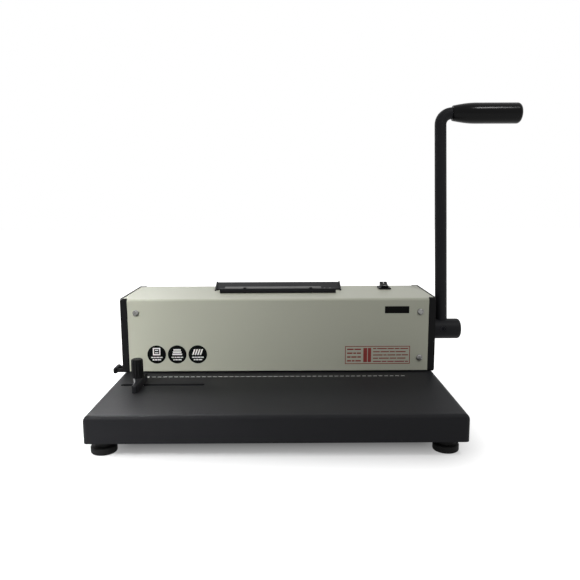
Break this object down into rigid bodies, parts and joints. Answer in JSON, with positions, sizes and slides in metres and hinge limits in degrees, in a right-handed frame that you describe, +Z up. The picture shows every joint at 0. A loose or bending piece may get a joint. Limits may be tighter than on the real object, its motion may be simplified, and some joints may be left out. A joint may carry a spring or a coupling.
{
  "type": "coil binding machine",
  "caption": "Desktop coil binding machine: lever punch under a long grey cover, powered coil roller on top, paper table with sliding edge guide and pull-out chip tray.",
  "frame": {"origin": "middle of the bounding box in plan, on the ground under the rubber feet", "axes": "+X from the chip tray's pull towards the lever, +Y from the paper table towards the back of the cover, +Z up"},
  "size_m": [0.4968, 0.25, 0.3533],
  "materials": {
    "black_paint": "textured powder coat",
    "grey_paint": "satin enamel",
    "black_plastic": "moulded",
    "black_rubber": "matte",
    "tool_steel": "ground",
    "plated_steel": "zinc plated",
    "bronze": "sintered"
  },
  "bodies": {
    "machine": {"base_pan": "black_paint", "bottom_plate": "plated_steel", "foot_front_left": "black_rubber", "foot_front_right": "black_rubber", "foot_rear_left": "black_rubber", "foot_rear_right": "black_rubber", "die_plate": "tool_steel", "guide_plate": "tool_steel", "back_stop": "plated_steel", "guide_rod_left": "plated_steel", "guide_rod_right": "plated_steel", "return_spring_left": "plated_steel", "return_spring_right": "plated_steel", "side_frame_left": "plated_steel", "side_frame_right": "plated_steel", "bush_left": "bronze", "bush_right": "bronze", "top_cover": "grey_paint", "cover_screw_low_left": "plated_steel", "cover_screw_top_left": "plated_steel", "cover_screw_low_right": "plated_steel", "cover_screw_top_right": "plated_steel", "end_cover_left": "black_plastic", "end_cover_right": "black_plastic", "coil_lip": "black_paint", "lip_screw_left": "black_paint", "lip_screw_right": "black_paint", "coil_rest": "black_paint", "roller_bracket_left": "plated_steel", "roller_bracket_right": "plated_steel", "motor": "plated_steel", "motor_bracket": "plated_steel", "drive_belt": "black_rubber", "switch_body": "black_plastic", "power_inlet": "black_plastic", "tray_runner_front": "plated_steel", "tray_runner_rear": "plated_steel"},
    "handle": {"drive_shaft": "plated_steel", "pinion_left": "tool_steel", "pinion_right": "tool_steel", "handle_hub": "black_paint", "hub_set_screw": "plated_steel", "handle_arm": "black_paint", "handle_grip": "black_plastic"},
    "beam": {"punch_beam": "plated_steel", "punch_gang": "tool_steel", "rack_left": "plated_steel", "rack_right": "plated_steel"},
    "roller": {"roller_spindle": "plated_steel", "roller_sleeve": "black_rubber", "roller_pulley": "black_plastic"},
    "motor_rotor": {"motor_pulley": "black_plastic"},
    "tray": {"chip_tray": "black_paint", "tray_pull": "black_plastic"},
    "guide": {"edge_guide": "black_paint", "guide_nut": "plated_steel"},
    "knob": {"guide_knob": "black_plastic"},
    "rocker": {"switch_rocker": "black_plastic"}
  },
  "joints": [
    {"name": "handle_turn", "type": "hinge", "parent": "machine", "child": "handle", "pos_m": [0.15038, 0.054, 0.0845], "axis": [1, 0, 0], "range_deg": [0, 80], "stiffness_Nm_per_rad": 0.5, "springref_deg": -34.38},
    {"name": "punch_slide", "type": "slide", "parent": "machine", "child": "beam", "axis": [0, 0, -1], "range_m": [0, 0.0112], "deforming": ["return_spring_left", "return_spring_right"]},
    {"name": "roller_spin", "type": "hinge", "parent": "machine", "child": "roller", "pos_m": [-0.04525, 0.07338, 0.1226], "axis": [1, 0, 0], "continuous": true},
    {"name": "motor_spin", "type": "hinge", "parent": "machine", "child": "motor_rotor", "pos_m": [0.00975, 0.098, 0.078], "axis": [1, 0, 0], "continuous": true},
    {"name": "tray_slide", "type": "slide", "parent": "machine", "child": "tray", "axis": [-1, 0, 0], "range_m": [0, 0.3]},
    {"name": "guide_slide", "type": "slide", "parent": "machine", "child": "guide", "axis": [1, 0, 0], "range_m": [-0.0157, 0.0694]},
    {"name": "knob_turn", "type": "hinge", "parent": "guide", "child": "knob", "pos_m": [-0.19682, -0.028, 0.0418], "axis": [0, 0, 1], "range_deg": [0, 180]},
    {"name": "switch_rock", "type": "hinge", "parent": "machine", "child": "rocker", "pos_m": [0.08718, 0.0945, 0.13], "axis": [1, 0, 0], "range_deg": [-24, 0]}
  ],
  "couplings": [
    {"joint": "punch_slide", "follows": "handle_turn", "m_per_rad": 0.008},
    {"joint": "motor_spin", "follows": "roller_spin", "ratio": 1.25}
  ]
}
